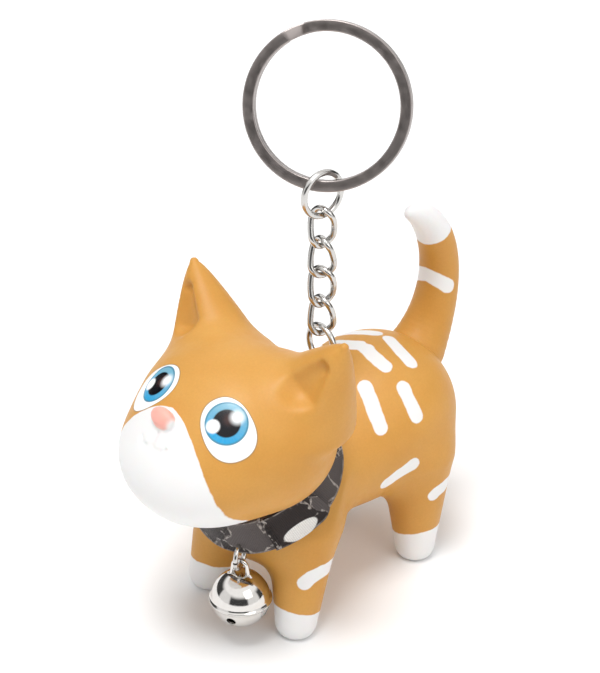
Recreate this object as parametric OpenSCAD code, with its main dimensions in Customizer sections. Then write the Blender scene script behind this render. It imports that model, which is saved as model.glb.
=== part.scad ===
// Kitten key ring: a moulded vinyl kitten with a ribbon collar and a jingle bell,
// hung by a screw eye and a short curb chain from a flat-wire split ring.
// Millimetres. +Z is up, the kitten looks along -Y, its left side is towards +X.
// The origin is the centre of the split ring.

/* [Split ring] */
// Outside diameter of the split ring
ring_od = 30; // [27:0.5:34]
// Width of its flat wire, measured along the radius
ring_wire_w = 2.0; // [1.6:0.1:2.2]
// Thickness of one of its two coils
ring_wire_t = 1.35; // [1.1:0.05:1.4]
// Turn of the ring about the vertical
ring_yaw = 32; // [20:1:40]
// Backward lean of the ring
ring_lean = 18; // [10:1:25]

/* [Chain] */
// Diameter of the chain wire
wire_d = 1.2; // [1.0:0.1:1.3]
// Outside diameter of the jump ring on the split ring
upper_ring_od = 9.4; // [9.2:0.1:10]
// Outside diameter of the jump ring on the kitten
lower_ring_od = 8.8; // [8:0.1:9.4]
// Outside length of a curb link
link_l = 8.5; // [8:0.1:9.5]
// Outside width of a curb link
link_w = 5.4; // [5.2:0.1:6]
// Gap left between two linked wires
wire_gap = 0.15; // [0.1:0.01:0.2]
// Turn of the chain about the vertical
chain_yaw = -10; // [-20:1:0]

/* [Screw eye] */
// Mean radius of the eye
eye_r = 2.0; // [1.9:0.05:2.2]
// Diameter of its threaded shank
shank_d = 2.0; // [1.6:0.1:2.4]

/* [Kitten] */
// Height of the middle of the screw eye above the soles
eye_height = 44.8; // [44:0.1:47]
// Distance of the screw eye behind the middle of the figure
eye_y = 2; // [1.5:0.1:3]
// Sideways distance of a paw from the middle
paw_x = 11.4; // [11:0.1:12]
// Lengthwise distance of a paw from the middle
paw_y = 17.2; // [16.5:0.1:18]
// Radius of a paw
paw_r = 4.0; // [3.8:0.05:4.2]
// Radius of the flat sole
sole_r = 2.75; // [2.4:0.05:3.1]
// Wall of the body moulding
body_wall = 2.2; // [1.8:0.1:2.6]
// Wall of the head moulding
head_wall = 1.3; // [1.2:0.1:1.8]
// Tilt of the head, nose up
head_tilt = 16; // [10:1:20]
// Turn of the head towards the kitten's right
head_yaw = 3.5; // [0:0.5:10]

/* [Collar] */
// Width of the ribbon
ribbon_w = 6.8; // [6:0.1:7]
// Thickness of the ribbon
ribbon_t = 0.8; // [0.6:0.05:0.9]
// Place of the bell round the collar, from the front towards the left
bell_turn = 20; // [10:1:22]

/* [Bell] */
// Outside diameter of the bell
bell_d = 11; // [9:0.1:11.2]
// Thickness of the bell's sheet metal
bell_t = 0.4; // [0.35:0.05:0.5]
// Diameter of the pellet inside
pellet_d = 2.6; // [2.2:0.1:3]
// Width of the sound slots
slot_w = 0.9; // [0.7:0.1:1.2]

/* [Hidden] */
link_count = 4;
fit_gap = 0.05;

// the middle of the ring's wire at its lowest point
ring_r = (ring_od - ring_wire_w) / 2;
lowest_out = ring_r * sin(ring_lean);
ring_low = [lowest_out * sin(ring_yaw), -lowest_out * cos(ring_yaw),
            -ring_r * cos(ring_lean)];
// the jump ring hangs a little below that, so its wire clears the flat coils
upper_hang = 1.65;
upper_r = (upper_ring_od - wire_d) / 2;
lower_r = (lower_ring_od - wire_d) / 2;
link_h = link_l - wire_d;
hook = wire_d + wire_gap;
upper_z = ring_low[2] - upper_hang;
link_1_z = upper_z - upper_r + hook - link_h / 2;
link_pitch = link_h - hook;
link_4_z = link_1_z - (link_count - 1) * link_pitch;
lower_z = link_4_z - link_h / 2 + hook - lower_r;
eye_z = lower_z - lower_r + hook - eye_r;
// the middle between the four soles
kitten = [ring_low[0], ring_low[1] - eye_y, eye_z - eye_height];

// height of the middle of a paw's ball, which the floor cuts to the flat sole
paw_z = sqrt(paw_r * paw_r - sole_r * sole_r);

// neck axis, which leans forward, and the collar's cone round it
neck_mid = [0, -15, 30];
neck_lean = 35;
ribbon_r = 13.9;
ribbon_slope = 0.42;
ribbon_cone = atan(ribbon_slope);
seat_s = 4.4;
neck_r = 7;
// where the bed of the ribbon starts, and how far it lies inside the ribbon's middle
bed_s = -1;
bed_gap = ribbon_t * 0.8;
head_mid = [0, -20.5, 42];
tail_root = [0, 28, 37];
bell_hole_s = -1.7;
bell_hole_d = 2.0;
bell_wire_d = 0.9;
bell_ring_r = 2.4;
loop_wire_d = 0.7;
loop_r = 1.4;
loop_rise = 1.2;
// the plug's flange and stem, and the plain length of the screw eye's shank
anchor_top = 38.6;
anchor_r = 2.8;
flange_t = 1.4;
stem_r = anchor_r - 1;
stem_l = 9;
shank_l = 11;
// room round the ribbon: below it, and outside its lower and its upper edge
seat_room = [0.4, 1.7, 2.5];
bell_rim_t = 0.3;
bell_rim_w = 0.35;
vinyl = [0.84, 0.62, 0.33];
steel = [0.72, 0.72, 0.74];

// ---- shared shapes ----

// places its children with their Z axis running from a to b
module along(a, b) {
    v = b - a;
    translate(a) rotate([0, acos(v[2] / norm(v)), atan2(v[1], v[0])]) children();
}

// a cone with ball ends, from a ball at a to a ball at b
module round_cone(a, r_a, b, r_b, steps = 9) {
    reach = norm(b - a);
    tip = asin((r_a - r_b) / reach);
    near_end = [for (i = [0:steps]) let (t = -90 + (tip + 90) * i / steps)
                [r_a * cos(t), r_a * sin(t)]];
    far_end = [for (i = [0:steps]) let (t = tip + (90 - tip) * i / steps)
               [r_b * cos(t), reach + r_b * sin(t)]];
    along(a, b) rotate_extrude($fn = 48) polygon(concat(near_end, far_end));
}

// an egg whose long axis runs along Z
module egg(long_r, round_r, steps = 20) {
    rotate_extrude($fn = 48)
        polygon([for (i = [0:steps]) let (t = -90 + 180 * i / steps)
                 [round_r * cos(t), long_r * sin(t)]]);
}

// a ring of round wire in a vertical plane that is turned about Z
module wire_ring(mean_r, wire, turn) {
    rotate([90, 0, turn]) rotate_extrude($fn = 64) translate([mean_r, 0]) circle(d = wire, $fn = 24);
}

// a tube of n sides through closed rings of points: rings[i] is one ring
module ring_skin(rings) {
    count = len(rings);
    sides = len(rings[0]);
    polyhedron(points = [for (r = rings) each r],
               faces = [for (i = [0:count - 1], j = [0:sides - 1])
                        let (a = i * sides, b = ((i + 1) % count) * sides, k = (j + 1) % sides)
                        [a + j, a + k, b + k, b + j]], convexity = 6);
}

// moves into the kitten's own frame, whose floor is at its soles
module on_kitten() translate(kitten) children();

// moves into the frame of the neck, with Z along the neck axis and X to the left
module on_neck() translate(neck_mid) rotate([neck_lean, 0, 0]) children();

// moves into the frame of the head
module on_head() translate(head_mid) rotate([0, 0, -head_yaw]) rotate([-head_tilt, 0, 0]) children();

function ribbon_at(s) = ribbon_r - ribbon_slope * s;

// ---- split ring ----

// height of the wire across the ring's plane after a turn of t degrees
jog = 16;
coil_step = ring_wire_t + 0.06;
function coil_height(t) =
    t < 360 - jog ? 0 : t < 360 ? coil_step * (t - 360 + jog) / jog : coil_step;

module split_ring() {
    turns = [for (i = [0:118]) i < 59 ? (360 - jog) * i / 59 : (360 - jog) + 360 * (i - 59) / 59];
    inner = ring_od / 2 - ring_wire_w;
    outer = ring_od / 2;
    sections = [for (t = turns) let (z = coil_height(t) - coil_step / 2 - ring_wire_t / 2)
                [for (c = [[inner, z], [outer, z], [outer, z + ring_wire_t], [inner, z + ring_wire_t]])
                 [c[0] * cos(t), c[0] * sin(t), c[1]]]];
    n = len(sections);
    sides = [for (i = [0:n - 2], j = [0:3])
             [4 * i + j, 4 * i + (j + 1) % 4, 4 * (i + 1) + (j + 1) % 4, 4 * (i + 1) + j]];
    ends = [[3, 2, 1, 0], [for (j = [0:3]) 4 * (n - 1) + j]];
    color([0.36, 0.34, 0.33])
        rotate([0, 0, ring_yaw]) rotate([90 - ring_lean, 0, 0]) rotate([0, 0, 125])
            polyhedron(points = [for (s = sections) each s], faces = concat(sides, ends), convexity = 8);
}

// ---- chain ----

module upper_jump_ring() color(steel)
    translate([ring_low[0], ring_low[1], upper_z]) wire_ring(upper_r, wire_d, chain_yaw + 90);

// a curb link: a flat racetrack of wire, twisted a quarter turn over its length
module chain_link(i) {
    r = (link_w - wire_d) / 2;
    h = link_h / 2 - r;
    lap = 4 * h + 2 * PI * r;
    sides = 8;
    flat_at = function (x)
        x < 2 * h ? [r, x - h]
        : x < 2 * h + PI * r ? let (a = (x - 2 * h) / r * 180 / PI) [r * cos(a), h + r * sin(a)]
        : x < 4 * h + PI * r ? [-r, 3 * h + PI * r - x]
        : let (a = (x - 4 * h) / r * 180 / PI) [r * cos(a), -h + r * sin(a)];
    twist = function (p) let (a = chain_yaw + 90 * (0.5 - p[1] / link_h))
        [p[0] * cos(a), p[0] * sin(a), p[1]];
    at = function (x) twist(flat_at((x + lap) % lap));
    steps = 40;
    rings = [for (k = [0:steps - 1])
             let (x = lap * (k + 0.5) / steps, p = at(x), d = at(x + 0.05) - at(x - 0.05), t = d / norm(d),
                  out = [p[0], p[1], max(-1, min(1, p[2] / h)) * r + 0.01], u0 = out - t * (out * t),
                  u = u0 / norm(u0), v = cross(t, u))
             [for (j = [0:sides - 1]) let (a = 360 * j / sides)
              p + wire_d / 2 * (cos(a) * u + sin(a) * v)]];
    color(steel) translate([ring_low[0], ring_low[1], link_1_z - (i - 1) * link_pitch]) ring_skin(rings);
}

module lower_jump_ring() color(steel)
    translate([ring_low[0], ring_low[1], lower_z]) wire_ring(lower_r, wire_d, chain_yaw);

// ---- screw eye and its anchor ----

module screw_eye() color(steel)
    translate([ring_low[0], ring_low[1], eye_z]) {
        wire_ring(eye_r, wire_d, chain_yaw + 90);
        translate([0, 0, -eye_r - shank_l]) cylinder(h = shank_l, d = shank_d, $fn = 32);
    }

module anchor_plug() color(vinyl) on_kitten() translate([0, eye_y, 0])
    difference() {
        union() {
            translate([0, 0, anchor_top - flange_t]) cylinder(h = flange_t, r = anchor_r, $fn = 48);
            translate([0, 0, anchor_top - stem_l]) cylinder(h = stem_l - 1, r = stem_r, $fn = 48);
        }
        translate([0, 0, eye_height - eye_r - shank_l - fit_gap]) cylinder(h = 20, d = shank_d, $fn = 32);
    }

// ---- body ----

// the torso: rump, middle and shoulders, each made smaller by inset
module torso(inset) {
    translate([0, 16.4, 29]) rotate([90, 0, 0]) egg(16 - inset, 15.35 - inset);
    translate([0, 4, 25.5]) rotate([90, 0, 0]) egg(16 - inset, 12 - inset);
    on_neck() round_cone([0, 0, -7.5], 12.6 - inset,
                         [0, 0, inset > 0 ? -2 : 8], (inset > 0 ? 9.2 : 8) - inset);
}

module leg(x, y) {
    hip = [x * 0.82, y < 0 ? -13 : 18.5, y < 0 ? 20 : 22];
    round_cone(hip, y < 0 ? 6.4 : 7.2, [x, y, paw_z], paw_r);
}

module body_shell() color(vinyl) on_kitten()
    difference() {
        union() {
            difference() {
                union() {
                    torso(0);
                    for (x = [-paw_x, paw_x], y = [-paw_y, paw_y]) leg(x, y);
                }
                // the neck is cut flat where the head sits on it
                on_neck() translate([0, 0, seat_s]) cylinder(h = 20, r = 30);
                // the soles are cut flat
                translate([-30, -40, -20]) cube([60, 80, 20]);
                // a shallow seat for the ribbon, and above it only the neck stands
                on_neck() ribbon_seat();
            }
            on_neck() cylinder(h = seat_s + 6, r = neck_r, $fn = 48);
            // the cone under the upper half of the ribbon
            on_neck() translate([0, 0, bed_s])
                cylinder(h = seat_s - bed_s, r1 = ribbon_at(bed_s) - bed_gap,
                         r2 = ribbon_at(seat_s) - bed_gap, $fn = 96);
        }
        torso(body_wall);
        on_neck() cylinder(h = 20, r = neck_r - 2, $fn = 48);
        // holes for the anchor plug and for the tail's peg
        translate([0, eye_y, anchor_top - flange_t]) cylinder(h = 6, r = anchor_r + fit_gap, $fn = 48);
        translate([0, eye_y, anchor_top - stem_l - 3]) cylinder(h = 14, r = stem_r + fit_gap, $fn = 48);
        along(tail_root, tail_root + [0, 5, 7]) translate([0, 0, -6])
            cylinder(h = 20, r = tail_line[0][3] + fit_gap);
    }

// what the ribbon and the room round it take out of the shoulders
module ribbon_seat() {
    low = -ribbon_w / 2 - seat_room[0];
    high = seat_s + 1;
    rotate_extrude($fn = 96)
        polygon([[ribbon_at(low) - bed_gap, low], [ribbon_at(low) + seat_room[1], low],
                 [ribbon_at(high) + seat_room[2], high], [ribbon_at(high) - bed_gap, high]]);
}

// ---- tail ----

// middle line of the tail and its radius, root to tip
tail_line = [[0, 28, 37, 5.6], [0, 33, 44, 4.7], [0, 35, 52, 4.2],
             [0, 33.4, 60, 3.9], [0, 30, 64, 3.2], [0, 26, 66.6, 1.7]];

module tail() color(vinyl) on_kitten()
    for (i = [0:len(tail_line) - 2]) let (a = tail_line[i], b = tail_line[i + 1])
        round_cone([a[0], a[1], a[2]], a[3], [b[0], b[1], b[2]], b[3], 6);

// ---- head ----

module skull(inset) {
    rotate([0, 90, 0]) egg(19.5 - inset, 16.3 - inset);
    translate([0, -10, -6]) rotate([0, 90, 0]) egg(14 - inset, 10.5 - inset);
}

// a hollow-fronted ear; side is 1 on the left and -1 on the right
module ear(side) mirror([side < 0 ? 1 : 0, 0, 0])
    difference() {
        hull() {
            translate([20.3, 1, 22.5]) sphere(r = 1.2, $fn = 16);
            translate([8, 1, 11]) sphere(r = 4.5, $fn = 24);
            translate([15, 2.5, 4.5]) sphere(r = 4.5, $fn = 24);
            translate([11.5, 7, 8]) sphere(r = 4.5, $fn = 24);
        }
        hull() {
            translate([20, -1.6, 19.5]) sphere(r = 0.8, $fn = 16);
            translate([17, -6, 9.5]) sphere(r = 3.6, $fn = 24);
        }
    }

module head_shell() color(vinyl) on_kitten()
    difference() {
        on_head() difference() {
            union() {
                skull(0);
                ear(1);
                ear(-1);
                translate([0, -16.6, 3.4]) sphere(r = 1.9, $fn = 32);
            }
            skull(head_wall);
        }
        // the head is cut flat where it sits on the shoulders, and bored for the neck
        on_neck() translate([0, 0, seat_s + fit_gap - 30]) cylinder(h = 30, r = 40);
        on_neck() cylinder(h = 12, r = neck_r + fit_gap, $fn = 48);
    }

// ---- collar ----

module collar() color([0.15, 0.13, 0.13]) on_kitten()
    on_neck() difference() {
        union() {
            ribbon(0, 360, 0);
            // the free end laps over the band on the left side
            rotate([0, 0, -32]) ribbon(0, 34, ribbon_t - 0.04);
        }
        // hole for the bell's ring
        rotate([0, 0, bell_turn - 90]) translate([ribbon_at(bell_hole_s), 0, bell_hole_s])
            rotate([0, 90 - ribbon_cone, 0]) cylinder(h = 6, d = bell_hole_d, center = true, $fn = 32);
    }

module ribbon(from, sweep, lift) {
    half = ribbon_w / 2;
    skew = ribbon_t / 2 / cos(ribbon_cone);
    rotate([0, 0, from]) rotate_extrude(angle = sweep, $fn = 96)
        polygon([[ribbon_at(-half) - skew + lift, -half], [ribbon_at(-half) + skew + lift, -half],
                 [ribbon_at(half) + skew + lift, half], [ribbon_at(half) - skew + lift, half]]);
}

// ---- bell ----

// the hole in the collar, in the kitten's frame
neck_up = [0, -sin(neck_lean), cos(neck_lean)];
neck_out = [sin(bell_turn), -cos(bell_turn) * cos(neck_lean), -cos(bell_turn) * sin(neck_lean)];
bell_hole = neck_mid + bell_hole_s * neck_up + ribbon_at(bell_hole_s) * neck_out;
bell_face = atan2(neck_out[1], neck_out[0]);
bell_ring_z = bell_hole[2] - bell_ring_r;
loop_z = bell_ring_z - bell_ring_r + (bell_wire_d + loop_wire_d) / 2 + 0.12 - loop_r;
bell_z = loop_z - loop_rise - bell_d / 2 + 0.35;

module on_bell(z) translate([bell_hole[0], bell_hole[1], z]) children();

module bell_ring() color(steel) on_kitten()
    on_bell(bell_ring_z) wire_ring(bell_ring_r, bell_wire_d, bell_face);

module bell_loop() color(steel) on_kitten() on_bell(loop_z)
    rotate([0, 0, bell_face + 90]) {
        rotate([90, 0, 0]) rotate_extrude(angle = 180, $fn = 64)
            translate([loop_r, 0]) circle(d = loop_wire_d, $fn = 24);
        for (x = [-loop_r, loop_r]) translate([x, 0, -loop_rise - 1.1])
            cylinder(h = loop_rise + 1.1, d = loop_wire_d, $fn = 24);
    }

// half of the bell: a bowl with a rim, open downwards
module bell_half() difference() {
    union() {
        sphere(d = bell_d, $fn = 64);
        cylinder(h = bell_rim_t, d = bell_d + 2 * bell_rim_w, $fn = 64);
    }
    sphere(d = bell_d - 2 * bell_t, $fn = 64);
    translate([0, 0, -bell_d]) cylinder(h = bell_d, d = 2 * bell_d);
}

module bell_cap() color(steel) on_kitten() on_bell(bell_z)
    difference() {
        translate([0, 0, 0.02]) bell_half();
        for (x = [-loop_r, loop_r]) rotate([0, 0, bell_face + 90]) translate([x, 0, 0])
            cylinder(h = bell_d, d = loop_wire_d + 2 * fit_gap, $fn = 24);
    }

module bell_cup() color(steel) on_kitten() on_bell(bell_z)
    difference() {
        rotate([180, 0, 0]) bell_half();
        // two crossed slots, each ending in a round hole
        for (turn = [0, 90]) rotate([0, 0, bell_face + turn]) {
            translate([-bell_d * 0.42, -slot_w / 2, -bell_d]) cube([bell_d * 0.84, slot_w, bell_d - 1.6]);
            for (x = [-1, 1]) rotate([0, x * 111, 0]) cylinder(h = bell_d, d = slot_w * 2, $fn = 32);
        }
    }

module bell_pellet() color(steel) on_kitten()
    on_bell(bell_z - bell_d / 2 + bell_t + pellet_d / 2 + 0.1) sphere(d = pellet_d, $fn = 32);

split_ring();
upper_jump_ring();
for (i = [1:link_count]) chain_link(i);
lower_jump_ring();
screw_eye();
anchor_plug();
body_shell();
tail();
head_shell();
collar();
bell_ring();
bell_loop();
bell_cap();
bell_cup();
bell_pellet();
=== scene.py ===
import bpy
import numpy as np
from math import radians, sin, cos, atan, pi
from mathutils import Matrix, Vector


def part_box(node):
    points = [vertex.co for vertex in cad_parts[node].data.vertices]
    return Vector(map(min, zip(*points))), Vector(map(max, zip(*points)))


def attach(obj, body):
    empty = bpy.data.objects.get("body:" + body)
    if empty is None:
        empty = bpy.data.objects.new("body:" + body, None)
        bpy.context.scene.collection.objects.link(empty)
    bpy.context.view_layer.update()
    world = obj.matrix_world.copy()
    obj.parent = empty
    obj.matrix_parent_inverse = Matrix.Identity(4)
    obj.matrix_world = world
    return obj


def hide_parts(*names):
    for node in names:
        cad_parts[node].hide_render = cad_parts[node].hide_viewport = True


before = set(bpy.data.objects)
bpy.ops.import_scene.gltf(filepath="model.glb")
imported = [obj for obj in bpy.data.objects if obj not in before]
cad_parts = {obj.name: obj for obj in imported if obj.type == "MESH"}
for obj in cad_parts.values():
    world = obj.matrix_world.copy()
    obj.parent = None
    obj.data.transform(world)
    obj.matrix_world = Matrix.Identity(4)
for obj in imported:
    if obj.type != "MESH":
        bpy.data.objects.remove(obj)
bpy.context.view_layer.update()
metre, perMetre = 0.001, 1000  # shapes are worked out in millimetres, and meshes are kept in metres


def middle(node):
    low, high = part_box(node)
    return np.array((low + high) / 2) * perMetre


# where the kitten stands, in mm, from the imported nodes
plugMid, bodyLow = middle("anchor_plug"), np.array(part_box("body_shell")[0]) * perMetre
eyeBehind = 2  # the screw eye stands this far behind the middle of the figure
kittenAt = np.array([plugMid[0], plugMid[1] - eyeBehind, bodyLow[2]])

# the kitten's shape, in mm in its own frame: floor at 0, nose towards -Y, its left side towards +X
kitten = {
    "headMid": (0, -20.5, 42), "headTilt": 16, "headYaw": 3.5,
    "skull": (19.5, 17, 15.5), "muzzleMid": (0, -10, -6.3), "muzzle": (14, 11, 10.3),
    "noseMid": (0, -18.6, 3.5), "nose": (2.7, 1.3, 1.8),
    "rumpMid": (0, 16.6, 29), "rump": (16.2, 16.7, 15.3), "bellyMid": (0, 3.5, 26), "belly": (13, 16.5, 11.8),
    "hip": (10, 18.5, 22), "hipRadius": 7.2, "shoulder": (9.3, -13, 20), "shoulderRadius": 6.6,
    "paw": (11.4, 17.2, 2.9), "pawRadius": 4,
    "neckMid": (0, -15, 30), "neckLean": 35, "neckLow": (-7.5, 14.2), "neckHigh": (8, 8.4), "seat": 4.4,
    "tail": [(0, 28.6, 36, 6), (0, 34.2, 44, 4.5), (0, 36, 52, 3.9),
             (0, 34.4, 60, 3.6), (0, 30.8, 65, 2.8), (0, 26.6, 67.4, 1.2)], "tailPoints": 31,
}
# tips for the left and right ear; a hollow's rows are its way up, way forward and radius at each end
ear = {"root": (12.4, 3.8, 9), "tip": {1: (20.6, 0, 22.4), -1: (20.2, 1.8, 23.6)}, "front": (0.2, -1, 0.1),
       "wide": 8.6, "deep": 7.5, "edge": 0.9, "below": 3.4,
       "hollowLow": (9, 6.6, 4.6), "hollowHigh": (-4.4, 3, 1.3)}
# how softly neighbouring shapes run together
blend = {"muzzle": 6, "ear": 4, "hollow": 1.1, "nose": 0.8, "belly": 6, "neck": 2.5, "leg": 4, "seat": 0.8,
         "bedEnd": 0.6, "bed": 0.8, "roomSide": 0.4, "room": 0.5, "sole": 0.8}
# the ribbon's middle line, and the bed and the room that the neck leaves for it
ribbon = {"radius": 13.9, "slope": 0.42, "width": 6.8, "bedUnder": 0.62, "bedMid": 1.7, "bedHalf": 2.7,
          "roomMid": 1, "roomHalf": 4.8, "roomOver": 1.8}


def softMin(a, b, k):
    h = np.clip(0.5 + 0.5 * (b - a) / k, 0, 1)
    return b + (a - b) * h - k * h * (1 - h)


def softMax(a, b, k):
    return -softMin(-a, -b, k)


def eggDistance(p, mid, radii):
    q, r = p - np.array(mid, float), np.array(radii, float)
    near, steep = np.linalg.norm(q / r, axis=1), np.linalg.norm(q / (r * r), axis=1)
    return near * (near - 1) / np.maximum(steep, 1e-6)


def coneDistance(p, a, b, radiusA, radiusB):
    a, b = np.array(a, float), np.array(b, float)
    run = b - a
    h = np.clip((p - a) @ run / (run @ run), 0, 1)
    return np.linalg.norm(p - a - h[:, None] * run, axis=1) - (radiusA + (radiusB - radiusA) * h)


def turn(axis, degrees):
    c, s = cos(radians(degrees)), sin(radians(degrees))
    return np.array({"x": [[1, 0, 0], [0, c, -s], [0, s, c]], "z": [[c, -s, 0], [s, c, 0], [0, 0, 1]]}[axis])


headTurn = turn("z", -kitten["headYaw"]) @ turn("x", -kitten["headTilt"])
neckTurn = turn("x", kitten["neckLean"])


def toHead(p):
    return (p - np.array(kitten["headMid"], float)) @ headTurn


def toNeck(p):
    return (p - np.array(kitten["neckMid"], float)) @ neckTurn


def ribbonAt(s):
    return ribbon["radius"] - ribbon["slope"] * s


def earDistance(q, side):
    root = np.array(ear["root"], float) * (side, 1, 1)
    up = np.array(ear["tip"][side], float) * (side, 1, 1) - root
    length = np.linalg.norm(up)
    up = up / length
    front = np.array(ear["front"]) * (side, 1, 1)
    front = front - front @ up * up
    front = front / np.linalg.norm(front)
    d = q - root
    t = d @ up
    left = 1 - np.clip(t / length, 0, 1)
    halfWide, halfDeep = ear["wide"] * left ** 0.85 + ear["edge"], ear["deep"] * left ** 0.8 + ear["edge"]
    ends = np.maximum(t - length, 0) + np.maximum(-t, 0) / ear["below"]
    body = np.sqrt((d @ np.cross(up, front) / halfWide) ** 2 + (d @ front / halfDeep) ** 2 + ends ** 2) - 1
    (lowUp, lowFront, lowRadius), (highUp, highFront, highRadius) = ear["hollowLow"], ear["hollowHigh"]
    low, high = root + up * lowUp + front * lowFront, root + up * (length + highUp) + front * highFront
    hollow = coneDistance(q, low, high, lowRadius, highRadius)
    return body * np.minimum(halfWide, halfDeep) * 0.8, hollow


def headDistance(p):
    q = toHead(p)
    d = eggDistance(q, (0, 0, 0), kitten["skull"])
    d = softMin(d, eggDistance(q, kitten["muzzleMid"], kitten["muzzle"]), blend["muzzle"])
    for side in (1, -1):
        outer, hollow = earDistance(q, side)
        d = softMin(d, outer, blend["ear"])
        d = softMax(d, -hollow, blend["hollow"])
    d = softMin(d, eggDistance(q, kitten["noseMid"], kitten["nose"]), blend["nose"])
    return softMax(d, kitten["seat"] + 0.1 - toNeck(p)[:, 2], blend["seat"])


def bodyDistance(p):
    d = eggDistance(p, kitten["rumpMid"], kitten["rump"])
    d = softMin(d, eggDistance(p, kitten["bellyMid"], kitten["belly"]), blend["belly"])
    n = toNeck(p)
    around = np.hypot(n[:, 0], n[:, 1])
    slope = atan(ribbon["slope"])
    (lowAt, lowRadius), (highAt, highRadius) = kitten["neckLow"], kitten["neckHigh"]
    d = softMin(d, coneDistance(n, (0, 0, lowAt), (0, 0, highAt), lowRadius, highRadius), blend["neck"])
    px, py, pz = kitten["paw"]
    legs = [(kitten["shoulder"], kitten["shoulderRadius"], -py), (kitten["hip"], kitten["hipRadius"], py)]
    for side in (1, -1):
        for (hx, hy, hz), hipRadius, y in legs:
            leg = coneDistance(p, (side * hx, hy, hz), (side * px, y, pz), hipRadius, kitten["pawRadius"])
            d = softMin(d, leg, blend["leg"])
    # the bed that the ribbon lies on, and the room above it
    bed = (around - ribbonAt(n[:, 2]) + ribbon["bedUnder"]) * cos(slope)
    bedEnds = np.abs(n[:, 2] - ribbon["bedMid"]) - ribbon["bedHalf"]
    d = softMin(d, softMax(bed, bedEnds, blend["bedEnd"]), blend["bed"])
    room = softMax(-bed, np.abs(n[:, 2] - ribbon["roomMid"]) - ribbon["roomHalf"], blend["roomSide"])
    room = softMax(room, around - ribbonAt(n[:, 2]) - ribbon["roomOver"], blend["roomSide"])
    d = softMax(d, -room, blend["room"])
    d = softMax(d, n[:, 2] - kitten["seat"], blend["room"])
    return softMax(d, -p[:, 2], blend["sole"])


def tailDistance(p):
    # a smooth curve through the listed points, as many short cones
    line = np.array(kitten["tail"], float)
    fine = np.linspace(0, len(line) - 1, kitten["tailPoints"])
    smooth = np.array([np.polyval(np.polyfit(np.arange(len(line)), c, 4), fine) for c in line.T]).T
    return np.min([coneDistance(p, a[:3], b[:3], a[3], b[3]) for a, b in zip(smooth, smooth[1:])], axis=0)


def netSurface(distance, low, high, step):
    # the surface where the distance is zero, with one point in each grid cell that it crosses
    axes = [np.arange(a, b + step, step) for a, b in zip(low, high)]
    grid = np.stack(np.meshgrid(*axes, indexing="ij"), -1)
    d = distance(grid.reshape(-1, 3)).reshape(grid.shape[:3])
    cells = [n - 1 for n in d.shape]
    total, count = np.zeros((*cells, 3)), np.zeros(cells)
    for axis in range(3):
        for a in (0, 1):
            for b in (0, 1):
                start = np.roll([0, a, b], axis)
                end = start + np.eye(3, dtype=int)[axis]
                first = tuple(slice(o, o + n) for o, n in zip(start, cells))
                second = tuple(slice(o, o + n) for o, n in zip(end, cells))
                crosses = (d[first] < 0) != (d[second] < 0)
                share = np.where(crosses, d[first] / np.where(crosses, d[first] - d[second], 1), 0)
                total += (grid[first] + share[..., None] * (grid[second] - grid[first])) * crosses[..., None]
                count += crosses
    active = count > 0
    number = np.full(cells, -1)
    number[active] = np.arange(active.sum())
    points = total[active] / count[active][:, None]
    faces = []
    for axis in range(3):
        one, two = np.eye(3, dtype=int)[(axis + 1) % 3], np.eye(3, dtype=int)[(axis + 2) % 3]
        ahead = np.eye(3, dtype=int)[axis]
        base = tuple(slice(0 if i == axis else 1, n) for i, n in enumerate(cells))
        beyond = tuple(slice(s.start + k, s.stop + k) for s, k in zip(base, ahead))
        insideFirst = d[base] < 0
        at = np.argwhere(insideFirst != (d[beyond] < 0))
        outward = insideFirst[tuple(at.T)]
        at = at + one + two
        quad = np.stack([number[tuple((at - k).T)] for k in (one + two, two, 0 * one, one)], 1)
        faces.append(np.where(outward[:, None], quad, quad[:, ::-1]))
    # settle the points on the surface itself
    for _ in range(4):
        slope = slopeOf(distance, points)
        points = points - np.clip(distance(points), -step, step)[:, None] * slope
    return points, np.concatenate(faces)


def slopeOf(distance, points, reach=0.02):
    parts = [distance(points + reach * e) - distance(points - reach * e) for e in np.eye(3)]
    slope = np.stack(parts, 1) / (2 * reach)
    return slope / np.maximum((slope ** 2).sum(1), 0.25)[:, None]


def makePiece(name, points, faces, material, at=(0, 0, 0), fields=None, smoothAngle=None):
    mesh = bpy.data.meshes.new(name)
    mesh.from_pydata((np.asarray(points, float) + at) * metre, [], [tuple(int(i) for i in f) for f in faces])
    mesh.validate()
    mesh.materials.append(material)
    for key, values in (fields or {}).items():
        values = np.asarray(values, np.float32)
        kind, slotName = ("FLOAT_VECTOR", "vector") if values.ndim == 2 else ("FLOAT", "value")
        mesh.attributes.new(key, kind, "POINT").data.foreach_set(slotName, values.ravel())
    mesh.shade_smooth()
    if smoothAngle:
        mesh.set_sharp_from_angle(angle=radians(smoothAngle))
    piece = bpy.data.objects.new(name, mesh)
    bpy.context.collection.objects.link(piece)
    return piece


def finishPiece(piece, body, nodes=()):
    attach(piece, body)
    if nodes:
        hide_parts(*nodes)


def put(tree, kind, inputs=None, **settings):
    made = tree.nodes.new(kind)
    for key, value in settings.items():
        setattr(made, key, value)
    for key, value in (inputs or {}).items():
        if isinstance(value, bpy.types.NodeSocket):
            tree.links.new(value, made.inputs[key])
        else:
            made.inputs[key].default_value = value
    return made


def calc(tree, operation, *values):
    return put(tree, "ShaderNodeMath", dict(enumerate(values)), operation=operation).outputs[0]


def times(tree, a, b):
    return calc(tree, "MULTIPLY", a, b)


def plus(tree, a, b):
    return calc(tree, "ADD", a, b)


def minus(tree, a, b):
    return calc(tree, "SUBTRACT", a, b)


def absolute(tree, a):
    return calc(tree, "ABSOLUTE", a)


def vector(tree, x, y, z):
    return put(tree, "ShaderNodeCombineXYZ", {0: x, 1: y, 2: z}).outputs[0]


def parts(tree, value):
    return put(tree, "ShaderNodeSeparateXYZ", {0: value}).outputs


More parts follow.
